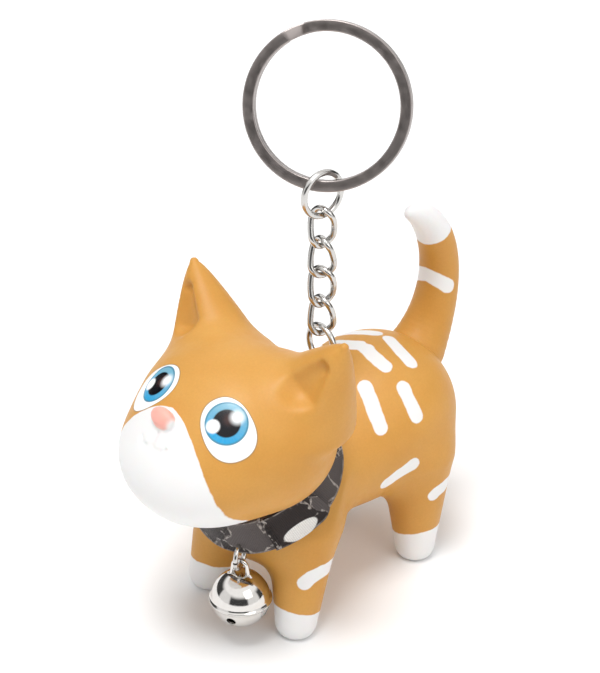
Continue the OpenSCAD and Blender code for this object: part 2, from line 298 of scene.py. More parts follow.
def blendColour(tree, share, first, second):
    return put(tree, "ShaderNodeMix", {0: share, 6: first, 7: second}, data_type="RGBA").outputs[2]


def within(tree, value, edge, soft=0.08):
    # 1 where the value is below the edge, 0 above it
    limits = {"Value": value, "From Min": edge + soft, "From Max": edge - soft}
    return put(tree, "ShaderNodeMapRange", limits, interpolation_type="SMOOTHSTEP").outputs[0]


def noise(tree, scale, detail=2.0, vector=None, roughness=0.5):
    inputs = {"Scale": scale, "Detail": detail, "Roughness": roughness}
    inputs["Vector"] = vector or put(tree, "ShaderNodeTexCoord").outputs["Object"]
    return put(tree, "ShaderNodeTexNoise", inputs).outputs[0]


def newMaterial(name, **shaderValues):
    material = bpy.data.materials.new(name)
    material.use_nodes = True
    tree = material.node_tree
    shader = tree.nodes["Principled BSDF"]
    for key, value in shaderValues.items():
        shader.inputs[key.replace("_", " ")].default_value = value
    return material, tree, shader


def ranged(tree, value, low, high, fromLow=0.3, fromHigh=0.7):
    inputs = {"Value": value, "From Min": fromLow, "From Max": fromHigh, "To Min": low, "To Max": high}
    return put(tree, "ShaderNodeMapRange", inputs).outputs[0]


def colour(red, green, blue):
    # from the usual 0 to 255 steps to the shader's own light values
    return tuple(((c / 255 + 0.055) / 1.055) ** 2.4 for c in (red, green, blue)) + (1,)


def grey(tree, level):
    return put(tree, "ShaderNodeCombineColor", {0: level, 1: level, 2: level}).outputs[0]


def mixValue(tree, share, first, second):
    return put(tree, "ShaderNodeMix", {0: share, 2: first, 3: second}, data_type="FLOAT").outputs[0]


def shadedBy(tree, level, base):
    inputs = {0: 1.0, 6: base, 7: grey(tree, level)}
    return put(tree, "ShaderNodeMix", inputs, data_type="RGBA", blend_type="MULTIPLY").outputs[2]


def hypot(tree, x, y):
    return calc(tree, "SQRT", plus(tree, times(tree, x, x), times(tree, y, y)))


def bump(tree, shader, height, strength, distance):
    bumped = put(tree, "ShaderNodeBump", {"Strength": strength, "Distance": distance, "Height": height})
    tree.links.new(bumped.outputs[0], shader.inputs["Normal"])


vinyl = {
    "orange": colour(209, 154, 76), "orangeDeep": colour(200, 142, 62), "white": colour(235, 234, 233),
    "pink": colour(246, 176, 162), "outline": colour(160, 126, 84),
    "irisTop": colour(122, 176, 198), "irisLow": colour(44, 160, 212), "irisRim": colour(74, 134, 160),
    "pupil": colour(6, 8, 16), "pupilGlow": colour(74, 50, 46), "glowMid": (0.25, 0.7), "glowSize": (0.75, 0.9),
    "eyeWhite": colour(247, 250, 250), "glint": colour(252, 254, 255), "spokes": 9.0,
    "irisRadius": 3.8, "pupilRadius": 2.45, "irisRimWidth": 0.3,
    "spots": [((1.5, 1.5), 1.1, 0.7), ((-2.1, -1.1), 1.2, 0.25)],
}


def vinylMaterial():
    material, tree, shader = newMaterial("paintedVinyl", Roughness=0.46, Subsurface_Weight=0.12,
                                         Subsurface_Scale=0.001, Specular_IOR_Level=0.32)
    field = {key: put(tree, "ShaderNodeAttribute", attribute_name=key).outputs["Fac"]
             for key in ("marking", "noseEdge", "eyeEdge")}
    # hand-sprayed orange: slow cloudy change, and a fine speckle
    clouds = ranged(tree, noise(tree, 60, 3), 0, 1)
    base = blendColour(tree, clouds, vinyl["orange"], vinyl["orangeDeep"])
    speckle = ranged(tree, noise(tree, 2600, 2), 0.97, 1.02)
    base = shadedBy(tree, speckle, base)
    # the mask's edge wanders a little and has a soft overspray
    wander = plus(tree, field["marking"], ranged(tree, noise(tree, 500, 2), -0.1, 0.1))
    painted = blendColour(tree, within(tree, wander, 0, 0.13), base, vinyl["white"])
    painted = blendColour(tree, within(tree, field["noseEdge"], 0, 0.22), painted, vinyl["pink"])
    painted = blendColour(tree, within(tree, field["eyeEdge"], 0.16, 0.12), painted, vinyl["outline"])
    painted = blendColour(tree, within(tree, field["eyeEdge"], 0, 0.07), painted, vinyl["eyeWhite"])
    painted = printedIris(tree, painted, field["eyeEdge"])
    tree.links.new(painted, shader.inputs["Base Color"])
    # the printed eyes are glossier than the soft-touch skin
    skin = ranged(tree, noise(tree, 900, 3), 0.42, 0.52)
    gloss = within(tree, field["eyeEdge"], 0.1, 0.1)
    tree.links.new(mixValue(tree, gloss, skin, 0.22), shader.inputs["Roughness"])
    bump(tree, shader, noise(tree, 1900, 2, roughness=0.6), 0.05, 0.0002)
    return material


def printedIris(tree, under, eyeEdge):
    place = put(tree, "ShaderNodeAttribute", attribute_name="eyePlace").outputs["Vector"]
    across, up, _ = parts(tree, place)

    def away(x, y):
        return hypot(tree, minus(tree, across, x), minus(tree, up, y))

    radius = away(0, 0)
    nearEye = within(tree, eyeEdge, 0.05, 0.05)
    # fine spokes run from the pupil to the rim
    bearing = times(tree, calc(tree, "ARCTAN2", up, across), vinyl["spokes"])
    outward = times(tree, radius, 0.4)
    spokes = noise(tree, 1.0, 2, vector(tree, bearing, outward, 0.0))
    light = plus(tree, ranged(tree, up, 1, 0, -3.2, 2.4), ranged(tree, spokes, -0.12, 0.12))
    iris = blendColour(tree, light, vinyl["irisTop"], vinyl["irisLow"])
    rim = within(tree, radius, vinyl["irisRadius"] - vinyl["irisRimWidth"], 0.14)
    iris = blendColour(tree, rim, vinyl["irisRim"], iris)
    glow = within(tree, away(*vinyl["glowMid"]), *vinyl["glowSize"])
    pupil = blendColour(tree, glow, vinyl["pupil"], vinyl["pupilGlow"])
    iris = blendColour(tree, within(tree, radius, vinyl["pupilRadius"], 0.16), iris, pupil)
    shown = times(tree, within(tree, radius, vinyl["irisRadius"], 0.1), nearEye)
    result = blendColour(tree, shown, under, iris)
    for (x, y), size, soft in vinyl["spots"]:
        spot = times(tree, within(tree, away(x, y), size, soft), nearEye)
        result = blendColour(tree, spot, result, vinyl["glint"])
    return result


# markings, in mm: each stripe is a rounded stroke through its points on the surface, mirrored left to right
markings = {
    "stripes": [
        [(1.0, 13.6, 43.8), (3.2, 12.9, 43.4), (6.2, 12.8, 42.3)],
        [(1.7, 19.5, 44.4), (4.9, 18.3, 43.6), (8.2, 17.9, 41.9)],
        [(6.2, 7.3, 40.2), (9.3, 6.1, 37.5), (11.7, 5.4, 34.6)],
        [(10.6, 12.9, 39.3), (12.5, 12.6, 37.3), (14.1, 12.8, 34.8)],
        [(13.3, 5.6, 23.1), (14.2, 8.3, 24.3), (15.1, 11.0, 25.5)],
        [(16.1, 16.6, 16.5), (16.7, 18.4, 17.2), (16.4, 22.5, 17.2)],
        [(14.4, -18.1, 13.1), (15.5, -15.8, 14.4), (15.1, -11.5, 14.0)],
        [(0, 31.5, 52.6), (2.6, 32.6, 51.8), (3.6, 34.4, 50.4)],
    ],
    "stripeRadius": 1.45, "pawTop": (6.9, 5.0, 7.2), "tailTip": ((0, 33.4, 61), (0, -0.42, 0.9)),
    "muzzleTop": 5.3, "muzzleWide": 13.2, "muzzleTall": 14.8,
    "noseWide": 3.1, "noseMargin": 0.22, "eyes": {1: (37, 5.9), -1: (-26.5, 6.6)},
}
# the white round an iris: a squared egg, with its shift from the iris and the sine and cosine of its lean
eyeWhite = {"out": 0.45, "down": 0.85, "sine": 0.64, "cosine": 0.77, "long": 5.7, "wide": 4.45, "flare": 0.05,
            "power": 2.25, "scale": 4.8}
mouth = {"depth": 0.42, "width": 0.42, "cleftAt": 0.1, "cleftHalf": 0.7, "smileOut": 1.5, "smileDown": 0.4,
         "smileRadius": 1.6, "smileTop": 0.9, "behind": -14}
far = {"place": 99.0, "edge": 9.0}  # what the eye and nose fields say away from them


def strokeDistance(p, points):
    # a smooth stroke through the three points
    share = np.linspace(0, 2, 9)
    line = np.array([np.polyval(np.polyfit((0, 1, 2), c, 2), share) for c in np.array(points, float).T]).T
    away = np.min([coneDistance(p, a, b, 0, 0) for a, b in zip(line, line[1:])], axis=0)
    return away - markings["stripeRadius"]


def bodyMarking(p):
    sided = np.abs(p) * (1, 0, 0) + p * (0, 1, 1)
    d = np.min([strokeDistance(sided, s) for s in markings["stripes"]], axis=0)
    frontHigh, frontBack, hind = markings["pawTop"]
    frontLine = frontBack + (frontHigh - frontBack) * np.clip((-14.3 - p[:, 1]) / 6.2, -0.3, 1.1)
    d = np.minimum(d, p[:, 2] - np.where(p[:, 1] < 0, frontLine, hind - 0.25 * (13 - np.abs(p[:, 0]))))
    tipAt, tipWay = (np.array(v, float) for v in markings["tailTip"])
    tip = np.where((p[:, 2] > 50) & (p[:, 1] > 15), -((p - tipAt) @ tipWay), 99)
    return np.minimum(d, tip)


def headMarking(p):
    q = toHead(p)
    height = np.clip((q[:, 2] + markings["muzzleTall"] - markings["muzzleTop"]) / markings["muzzleTall"], 0, 1)
    wide = markings["muzzleWide"] * (1 - height ** 1.6) ** 0.65
    above = q[:, 2] - markings["muzzleTop"]
    return softMax(softMax(np.abs(q[:, 0]) - wide, above, 1.5), (q[:, 1] + 4.5) * 0.6, 3)


def noseEdge(p):
    q = toHead(p)
    # the whole of the raised nose, narrower towards its lower end
    z = np.clip((q[:, 2] - kitten["noseMid"][2]) / kitten["nose"][2], -1, 1)
    side = np.abs(q[:, 0]) - markings["noseWide"] * (0.8 + 0.2 * z)
    return softMax(eggDistance(q, kitten["noseMid"], kitten["nose"]) - markings["noseMargin"], side, 0.8)


def eyeFrame(side):
    # the middle of the iris, found where a level line from the head's middle leaves the face
    degrees, height = markings["eyes"][side]
    way = np.array([sin(radians(degrees)), -cos(radians(degrees)), 0])
    reach = np.linspace(8, 24, 801)
    line = (way * reach[:, None] + (0, 0, height)) @ headTurn.T + kitten["headMid"]
    outside = headDistance(line) > 0
    spot = line[np.argmax(outside)]
    facing = slopeOf(headDistance, spot[None])[0]
    facing = facing / np.linalg.norm(facing)
    across = np.cross((0, 0, 1) @ headTurn.T, facing)
    across = across / np.linalg.norm(across)
    return spot, across, np.cross(facing, across), facing


def eyeFields(p):
    place, edge = np.full((len(p), 3), far["place"]), np.full(len(p), far["edge"])
    sine, cosine, power = eyeWhite["sine"], eyeWhite["cosine"], eyeWhite["power"]
    for side in (1, -1):
        spot, across, up, facing = eyeFrame(side)
        d = p - spot
        u, v, w = d @ across, d @ up, d @ facing
        # the white is an egg that leans outwards at the bottom
        x, y = u - side * eyeWhite["out"], v + eyeWhite["down"]
        long, wide = side * x * sine - y * cosine, side * x * cosine + y * sine
        inLong = np.abs(long / eyeWhite["long"]) ** power
        inWide = np.abs(wide / (eyeWhite["wide"] + eyeWhite["flare"] * long)) ** power
        whiteEdge = ((inLong + inWide) ** (1 / power) - 1) * eyeWhite["scale"]
        near = (np.abs(w) < 5) & (np.hypot(u, v) < 8)
        place[near] = np.stack([u, v, w], 1)[near]
        edge[near] = whiteEdge[near]
    return place, edge


def mouthGroove(p):
    # a faint cleft under the nose that parts into two short curves
    q = toHead(p)
    x, z = np.abs(q[:, 0]), q[:, 2]
    cleft = np.hypot(x, np.maximum(np.abs(z - mouth["cleftAt"]) - mouth["cleftHalf"], 0))
    curve = np.hypot(x - mouth["smileOut"], z + mouth["smileDown"]) - mouth["smileRadius"]
    smile = np.hypot(curve, np.maximum(z + mouth["smileTop"], 0) * 2)
    cut = np.exp(-(np.minimum(cleft, smile) / mouth["width"]) ** 2)
    return mouth["depth"] * cut * (q[:, 1] < mouth["behind"])


def makeKitten(material):
    step = 0.5
    pieces = {}
    for name, distance, low, high, cell in (
            ("head", lambda p: headDistance(p) + mouthGroove(p), (-26, -44, 22), (26, 2, 70), step),
            ("body", bodyDistance, (-19, -33, -1), (19, 35, 47), step),
            ("tail", tailDistance, (-8, 20, 29), (8, 41, 70), step * 0.8)):
        points, faces = netSurface(distance, low, high, cell)
        if name == "head":
            marking, nose, (place, edge) = headMarking(points), noseEdge(points), eyeFields(points)
        else:
            marking, place = bodyMarking(points), np.full((len(points), 3), far["place"])
            nose = edge = np.full(len(points), far["edge"])
        fields = {"marking": marking, "noseEdge": nose, "eyeEdge": edge, "eyePlace": place}
        pieces[name] = makePiece("kitten_" + name, points, faces, material, kittenAt, fields)
        print("kitten", name, len(faces), "faces")
    finishPiece(pieces["head"], "kitten", ["head_shell"])
    finishPiece(pieces["body"], "kitten", ["body_shell"])
    finishPiece(pieces["tail"], "kitten", ["tail"])


def plateMaterial(name, base, roughness, scratch=0.03, tint=0.06):
    # nickel plate: slightly uneven gloss, hair scratches and dull smears
    material, tree, shader = newMaterial(name, Metallic=1.0, Roughness=roughness)
    smears = noise(tree, 700, 3)
    shade = blendColour(tree, ranged(tree, smears, 0, 1), tuple(c * (1 - tint) for c in base[:3]) + (1,), base)
    tree.links.new(shade, shader.inputs["Base Color"])
    tree.links.new(ranged(tree, smears, roughness * 0.85, roughness * 1.2), shader.inputs["Roughness"])
    stretched = put(tree, "ShaderNodeMapping", {"Vector": put(tree, "ShaderNodeTexCoord").outputs["Object"],
                                                "Rotation": (0.4, 0.7, 0.2), "Scale": (1, 1, 14)}).outputs[0]
    bump(tree, shader, noise(tree, 1500, 4, stretched), scratch, 0.0001)
    return material


def nodeGroup(name, inputs, material):
    tree = bpy.data.node_groups.new(name, "GeometryNodeTree")
    tree.interface.new_socket("Geometry", in_out="OUTPUT", socket_type="NodeSocketGeometry")
    ends = {"Place": (0.0, 0.0, 0.0), "Turn": (0.0, 0.0, 0.0), "Material": material}
    for key, value in {**inputs, **ends}.items():
        kind = {"int": "NodeSocketInt", "tuple": "NodeSocketVector", "Material": "NodeSocketMaterial"}.get(
            type(value).__name__, "NodeSocketFloat")
        socket = tree.interface.new_socket(key, in_out="INPUT", socket_type=kind)
        if kind != "NodeSocketMaterial":
            socket.default_value = value
    return tree, tree.nodes.new("NodeGroupInput"), tree.nodes.new("NodeGroupOutput")


# points along a loop before and after it is evened out, around a wire, and along the split ring's two coils
wireDetail = {"bend": 240, "loop": 120, "around": 20, "coil": 420}


def finishTree(tree, given, output, shape):
    g = given.outputs
    placed = put(tree, "GeometryNodeTransform", {"Geometry": shape.outputs[0], "Translation": g["Place"],
                                                 "Rotation": g["Turn"]})
    real = put(tree, "GeometryNodeRealizeInstances", {"Geometry": placed.outputs[0]})
    dressed = put(tree, "GeometryNodeSetMaterial", {"Geometry": real.outputs[0], "Material": g["Material"]})
    tree.links.new(dressed.outputs[0], output.inputs[0])


def sweepAndFinish(tree, given, output, path, profile):
    swept = put(tree, "GeometryNodeCurveToMesh", {"Curve": path, "Profile Curve": profile, "Fill Caps": True})
    finishTree(tree, given, output, put(tree, "GeometryNodeSetShadeSmooth", {"Geometry": swept.outputs[0]}))


def wireLoopTree(material):
    # a round wire bent to a ring or a racetrack, which can be twisted along its length and cut open
    sizes = {"Length": 8.5, "Width": 5.4, "Wire": 1.2, "Twist": 90.0, "Cut": 0.1}
    tree, given, output = nodeGroup("wireLoop", sizes, material)
    g = given.outputs
    reach = times(tree, minus(tree, g["Width"], g["Wire"]), 0.5)
    straight = times(tree, minus(tree, g["Length"], g["Width"]), 0.5)
    circle = put(tree, "GeometryNodeCurvePrimitiveCircle", {"Resolution": wireDetail["bend"], "Radius": reach})
    spot = put(tree, "GeometryNodeInputPosition").outputs[0]
    x, y, _ = parts(tree, spot)
    # the upper and lower halves move apart, so the ring becomes a racetrack standing up
    side = put(tree, "ShaderNodeMapRange", {"Value": y, "From Min": -0.02, "From Max": 0.02,
                                            "To Min": -1.0, "To Max": 1.0}).outputs[0]
    tall = plus(tree, y, times(tree, side, straight))
    upright = vector(tree, x, 0.0, tall)
    raised = put(tree, "GeometryNodeSetPosition", {"Geometry": circle.outputs[0], "Position": upright})
    even = put(tree, "GeometryNodeResampleCurve", {"Curve": raised.outputs[0], "Count": wireDetail["loop"]})
    height = parts(tree, put(tree, "GeometryNodeInputPosition").outputs[0])[2]
    middleLength = minus(tree, g["Length"], g["Wire"])
    share = minus(tree, 0.5, calc(tree, "DIVIDE", height, middleLength))
    angle = calc(tree, "RADIANS", times(tree, share, g["Twist"]))
    twisted = put(tree, "ShaderNodeVectorRotate", {"Vector": put(tree, "GeometryNodeInputPosition").outputs[0],
                                                   "Axis": (0, 0, 1), "Angle": angle}, rotation_type="AXIS_ANGLE")
    bent = put(tree, "GeometryNodeSetPosition", {"Geometry": even.outputs[0], "Position": twisted.outputs[0]})
    opened = put(tree, "GeometryNodeTrimCurve", {"Curve": bent.outputs[0]}, mode="LENGTH")
    around = put(tree, "GeometryNodeCurveLength", {"Curve": bent.outputs[0]}).outputs[0]
    tree.links.new(times(tree, g["Cut"], 0.5), opened.inputs[4])
    tree.links.new(minus(tree, around, times(tree, g["Cut"], 0.5)), opened.inputs[5])
    profile = put(tree, "GeometryNodeCurvePrimitiveCircle", {
        "Resolution": wireDetail["around"], "Radius": times(tree, g["Wire"], 0.5)}).outputs[0]
    sweepAndFinish(tree, given, output, opened.outputs[0], profile)
    return tree


def splitRingTree(material):
    # flat wire wound twice, with a ramp where it steps from the back coil to the front one
    sizes = {"Diameter": 30.0, "Wire Width": 2.0, "Wire Thickness": 1.35, "Step": 1.41, "Jog": 16.0,
             "Start": 125.0, "Corner": 0.22}
    tree, given, output = nodeGroup("flatWireRing", sizes, material)
    g = given.outputs
    line = put(tree, "GeometryNodeCurvePrimitiveLine", {"End": (0.0, 0.0, 1.0)})
    even = put(tree, "GeometryNodeResampleCurve", {"Curve": line.outputs[0], "Count": wireDetail["coil"]})
    share = put(tree, "GeometryNodeSplineParameter").outputs["Factor"]
    sweep = times(tree, share, minus(tree, 720.0, g["Jog"]))
    angle = calc(tree, "RADIANS", plus(tree, sweep, g["Start"]))
    reach = times(tree, minus(tree, g["Diameter"], g["Wire Width"]), 0.5)
    back, front = (times(tree, g["Step"], half) for half in (-0.5, 0.5))
    rise = put(tree, "ShaderNodeMapRange", {
        "Value": sweep, "From Min": minus(tree, 360.0, g["Jog"]), "From Max": 360.0,
        "To Min": back, "To Max": front}).outputs[0]
    x, y = (times(tree, calc(tree, way, angle), reach) for way in ("COSINE", "SINE"))
    spot = vector(tree, x, y, rise)
    wound = put(tree, "GeometryNodeSetPosition", {"Geometry": even.outputs[0], "Position": spot})
    level = put(tree, "GeometryNodeSetCurveNormal", {"Curve": wound.outputs[0]}, mode="Z_UP")
    flat = put(tree, "GeometryNodeCurvePrimitiveQuadrilateral", {"Width": g["Wire Width"],
                                                                 "Height": g["Wire Thickness"]})
    rounded = put(tree, "GeometryNodeFilletCurve", {"Curve": flat.outputs[0], "Radius": g["Corner"], "Count": 4},
                  mode="POLY")
    sweepAndFinish(tree, given, output, level.outputs[0], rounded.outputs[0])
    return tree


def grow(name, tree, material, values, smoothAngle=40):
    # runs the tree once, in mm, and keeps the result as a plain mesh in metres
    source = bpy.data.objects.new(name, bpy.data.meshes.new(name))
    bpy.context.collection.objects.link(source)
    modifier = source.modifiers.new(name, "NODES")
    modifier.node_group = tree
    for item in tree.interface.items_tree:
        if item.in_out == "INPUT" and item.name in values:
            modifier[item.identifier] = values[item.name]
        if item.in_out == "INPUT" and item.name == "Material":
            modifier[item.identifier] = material
    graph = bpy.context.evaluated_depsgraph_get()
    mesh = bpy.data.meshes.new_from_object(source.evaluated_get(graph))
    source.modifiers.remove(modifier)
    mesh.transform(Matrix.Scale(metre, 4))
    mesh.set_sharp_from_angle(angle=radians(smoothAngle))
    source.data = mesh
    return source


def growLoop(name, loops, steel, wire, cut, place, turned, length, width, twist=0):
    return grow(name, loops, steel, {
        "Length": float(length), "Width": float(width), "Wire": wire, "Twist": float(twist), "Cut": cut,
        "Place": tuple(place), "Turn": (0.0, 0.0, radians(turned))})


# sizes in mm and turns in degrees; sway turns each link a little about the vertical
chain = {"wire": 1.2, "linkLength": 8.5, "linkWidth": 5.4, "upperRing": 9.4, "lowerRing": 8.8, "turn": -10,
         "ringCut": 0.16, "linkCut": 0.03, "sway": (8, -10, 9, -7), "splitLean": 72, "splitTurn": 32}
eye = {"radius": 2.0, "cut": 0.1, "shank": 0.98, "shankLength": 11, "pitch": 0.9, "threadDepth": 0.16,
       "plainNeck": 1.2, "runIn": 0.6, "sides": 28, "rings": 110}


def makeChain(steel, ringSteel):
    loops, flatWire = wireLoopTree(steel), splitRingTree(ringSteel)
    ring = grow("split_ring_wire", flatWire, ringSteel, {
        "Turn": (radians(chain["splitLean"]), 0.0, radians(chain["splitTurn"]))}, 35)
    finishPiece(ring, "ring", ["split_ring"])
    upper, lower, facing = chain["upperRing"], chain["lowerRing"], chain["turn"]
    links = [("upper_jump_ring", "upper_jump_ring", upper, upper, 0, facing + 90)]
    links += [("chain_link_%d" % i, "link_%d" % i, chain["linkLength"], chain["linkWidth"], 90,
               facing + chain["sway"][i - 1]) for i in (1, 2, 3, 4)]
    links += [("lower_jump_ring", "lower_jump_ring", lower, lower, 0, facing)]
    for node, body, length, width, twist, turned in links:
        cut = chain["linkCut"] if twist else chain["ringCut"]
        piece = growLoop(node + "_wire", loops, steel, chain["wire"], cut, middle(node), turned,
                         length, width, twist)
        finishPiece(piece, body, [node])
    print("split ring, 2 jump rings and 4 links")
    return loops


def makeScrewEye(loops, steel, plug):
    top = np.array(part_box("screw_eye")[1]) * perMetre
    x, y, _ = middle("screw_eye")
    across = 2 * eye["radius"] + chain["wire"]
    eyeZ = top[2] - across / 2
    loop = growLoop("screw_eye_loop", loops, steel, chain["wire"], eye["cut"], (x, y, eyeZ), chain["turn"] + 90,
                    across, across)
    finishPiece(loop, "kitten", ["screw_eye"])
    # the threaded shank: rings of points whose radius follows the thread
    sides, rings = eye["sides"], eye["rings"]
    start = eyeZ - eye["radius"] + 0.2
    z, theta = np.meshgrid(np.linspace(0, 1, rings), np.arange(sides) / sides, indexing="ij")
    down = z * eye["shankLength"]
    wave = np.abs(((down / eye["pitch"] - theta) % 1) - 0.5) * 2
    cutIn = np.clip((down - eye["plainNeck"]) / eye["runIn"], 0, 1)
    reach = eye["shank"] - eye["threadDepth"] * cutIn * np.clip(wave * 1.6 - 0.3, 0, 1)
    reach = reach * np.clip((1 - z) * 14 + 0.35, 0, 1)
    points = np.stack([reach * np.cos(theta * 2 * pi), reach * np.sin(theta * 2 * pi), start - down], -1)
    finishPiece(makePiece("screw_eye_shank", points.reshape(-1, 3), tubeFaces(rings, sides), steel, (x, y, 0),
                          smoothAngle=50), "kitten")
    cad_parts["anchor_plug"].material_slots[0].material = plug
    print("screw eye and plug")


def tubeFaces(rings, sides, closed=False):
    faces = []
    for i in range(rings if closed else rings - 1):
        a, b = i * sides, (i + 1) % rings * sides
        faces += [(a + (j + 1) % sides, a + j, b + j, b + (j + 1) % sides) for j in range(sides)]
    if not closed:
        faces += [tuple(range(sides)), tuple((rings - 1) * sides + j for j in reversed(range(sides)))]
    return faces


def tube(points, radii, sides=16):
    points = np.array(points, float)
    way = np.gradient(points, axis=0)
    way /= np.linalg.norm(way, axis=1)[:, None]
    # a planar path: one side vector is its plane's normal
    normal = np.cross(way[0], way[len(way) // 2])
    normal /= np.linalg.norm(normal)
    other = np.cross(normal, way)
    theta = np.arange(sides) / sides * 2 * pi
    rings = points[:, None] + np.array(radii)[:, None, None] * (
        np.cos(theta)[None, :, None] * other[:, None] + np.sin(theta)[None, :, None] * normal)
    return rings.reshape(-1, 3), tubeFaces(len(points), sides)


bell = {"radius": 5.5, "sheet": 0.4, "rim": 0.35, "rimTall": 0.55, "slot": 0.9, "slotHigh": -1.7, "hole": 0.9,
        "face": -66.04, "ring": 2.4, "ringWire": 0.9, "ringCut": 0.35, "loop": 1.35, "loopRise": 1.2,
        "loopWire": 0.42, "rimDegrees": 6, "rimSeat": 0.94, "slotReach": 0.84, "holeTilt": 21, "holeSides": 28,
        "pinEnds": (0.7, 1.3),
        "feet": [(0.75, -0.55), (0.35, -0.2), (0.1, 0.25)], "footFlare": 0.16}


def lathe(profile, sides=144):
    theta = np.arange(sides) / sides * 2 * pi
    points, faces, ring = [], [], []
    for r, z in profile:
        if r < 1e-6:
            ring.append([len(points)] * sides)
            points.append((0, 0, z))
        else:
            ring.append(list(range(len(points), len(points) + sides)))
            points += [(r * cos(t), r * sin(t), z) for t in theta]
    for one, two in zip(ring, ring[1:] + ring[:1]):
        for j in range(sides):
            k = (j + 1) % sides
            corners = list(dict.fromkeys((one[j], one[k], two[k], two[j])))
            if len(corners) > 2:
                faces.append(corners)
    return points, faces


def bellHalf(way):
    # outer skin from the crown to the rolled rim, then back inside; way is 1 for the cap and -1 for the cup
    outer, inner = bell["radius"], bell["radius"] - bell["sheet"]
    edge = outer + bell["rim"]
    angles = np.radians(np.linspace(90, bell["rimDegrees"], 40))
    profile = [(outer * cos(a), outer * sin(a)) for a in angles]
    half = bell["rimTall"] / 2
    roll = np.radians(np.linspace(60, -60, 9))
    profile += [(edge - half + half * cos(a), half + half * sin(a) - half * bell["rimSeat"]) for a in roll]
    profile += [(inner, 0.02)]
    profile += [(inner * cos(a), inner * sin(a)) for a in angles[::-1]]
    points, faces = lathe([(r, way * z) for r, z in profile])
    return points, ([f[::-1] for f in faces] if way > 0 else faces)


def slotCutter():
    # two crossed slots that end in round holes, as one mesh of separate closed bars and pins
    points, faces = [], []

    def add(shape, sides, turned):
        start = len(points)
        c, s = cos(turned), sin(turned)
        points.extend((c * x - s * y, s * x + c * y, z) for x, y, z in shape)
        faces.extend([start + i for i in f] for f in sides)

    half, reach = bell["slot"] / 2, bell["radius"] * bell["slotReach"]
    box = [(x, y, z) for z in (-bell["radius"] - 1, bell["slotHigh"]) for x, y in
           ((-reach, -half), (reach, -half), (reach, half), (-reach, half))]
    boxFaces = [(3, 2, 1, 0), (4, 5, 6, 7), (0, 1, 5, 4), (1, 2, 6, 5), (2, 3, 7, 6), (3, 0, 4, 7)]
    for i in range(2):
        add(box, boxFaces, radians(bell["face"] + 90 * i))
    tilt, hole, sides = radians(bell["holeTilt"]), bell["hole"], bell["holeSides"]
    around = np.linspace(0, 2 * pi, sides + 1)[:-1]
    ends = [bell["radius"] * end for end in bell["pinEnds"]]
    rings = [[(a * cos(tilt) + hole * sin(t) * sin(tilt), hole * cos(t),
               -a * sin(tilt) + hole * sin(t) * cos(tilt)) for t in around] for a in ends]
    for i in range(4):
        add(rings[0] + rings[1], [f[::-1] for f in tubeFaces(2, sides)], radians(bell["face"] + 90 * i))
    return points, faces


def cutAway(piece, cutter):
    knife = piece.modifiers.new("slots", "BOOLEAN")
    knife.object, knife.operation, knife.solver, knife.use_self = cutter, "DIFFERENCE", "EXACT", True
    mesh = bpy.data.meshes.new_from_object(piece.evaluated_get(bpy.context.evaluated_depsgraph_get()))
    piece.modifiers.clear()
    piece.data = mesh
    mesh.shade_smooth()
    mesh.set_sharp_from_angle(angle=radians(35))
    bpy.data.objects.remove(cutter)


def makeBell(loops, steel, bright, pelletSteel):
    low, high = (np.array(c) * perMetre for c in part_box("bell_cup"))
    at = np.array([(low[0] + high[0]) / 2, (low[1] + high[1]) / 2, high[2]])
    cap = makePiece("bell_cap_shell", *bellHalf(1), bright, at, smoothAngle=40)
    finishPiece(cap, "bell", ["bell_cap"])
    cup = makePiece("bell_cup_shell", *bellHalf(-1), bright, at, smoothAngle=40)
    cutAway(cup, makePiece("slot_cutter", *slotCutter(), bright, at))
    finishPiece(cup, "bell", ["bell_cup"])
    # the wire loop on top, with legs that spread into two feet on the cap
    wide, foot = bell["loop"], bell["radius"] - 0.25
    arcEnd = foot + 0.35 + bell["loopRise"]
    leg = [(wide + out, foot + up) for out, up in bell["feet"]]
    arc = [(wide * cos(a), arcEnd + wide * sin(a)) for a in np.linspace(pi, 0, 17)]
    path = [(-x, z) for x, z in leg] + arc + leg[::-1]
    c, s = cos(radians(bell["face"] + 90)), sin(radians(bell["face"] + 90))
    ends = np.minimum(np.arange(len(path)), np.arange(len(path))[::-1])
    thick = bell["loopWire"] + bell["footFlare"] * np.clip(1 - ends / 3, 0, 1)
    points, faces = tube([(x * c, x * s, z) for x, z in path], thick)
    finishPiece(makePiece("bell_loop_wire", points, faces, bright, at), "bell", ["bell_loop"])
    across = 2 * bell["ring"] + bell["ringWire"]
    ring = growLoop("bell_ring_wire", loops, steel, bell["ringWire"], bell["ringCut"], middle("bell_ring"),
                    bell["face"], across, across)
    finishPiece(ring, "bell_ring", ["bell_ring"])
    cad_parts["bell_pellet"].material_slots[0].material = pelletSteel
    print("bell, its loop and ring")


# the ribbon collar: an oval's row is its middle along and across the band, and its half sizes
cloth = {"thick": 0.5, "hem": 0.62, "hemAt": 3.15, "lapFrom": -44, "lapTo": 0, "lapLift": 0.66,
         "black": colour(36, 27, 26), "grey": colour(84, 77, 76), "line": colour(176, 168, 162),
         "oval": (-5.6, -2.0, 3.1, 1.4), "white": colour(236, 234, 230),
         "thread": colour(150, 142, 136), "patch": 7.0, "rib": 0.34,
         "tongue": 0.32, "tongueFrom": 0.8, "tongueLong": 0.2, "curl": 1.3,
         "stitchAt": (-42, -40), "stitchOut": 0.42}


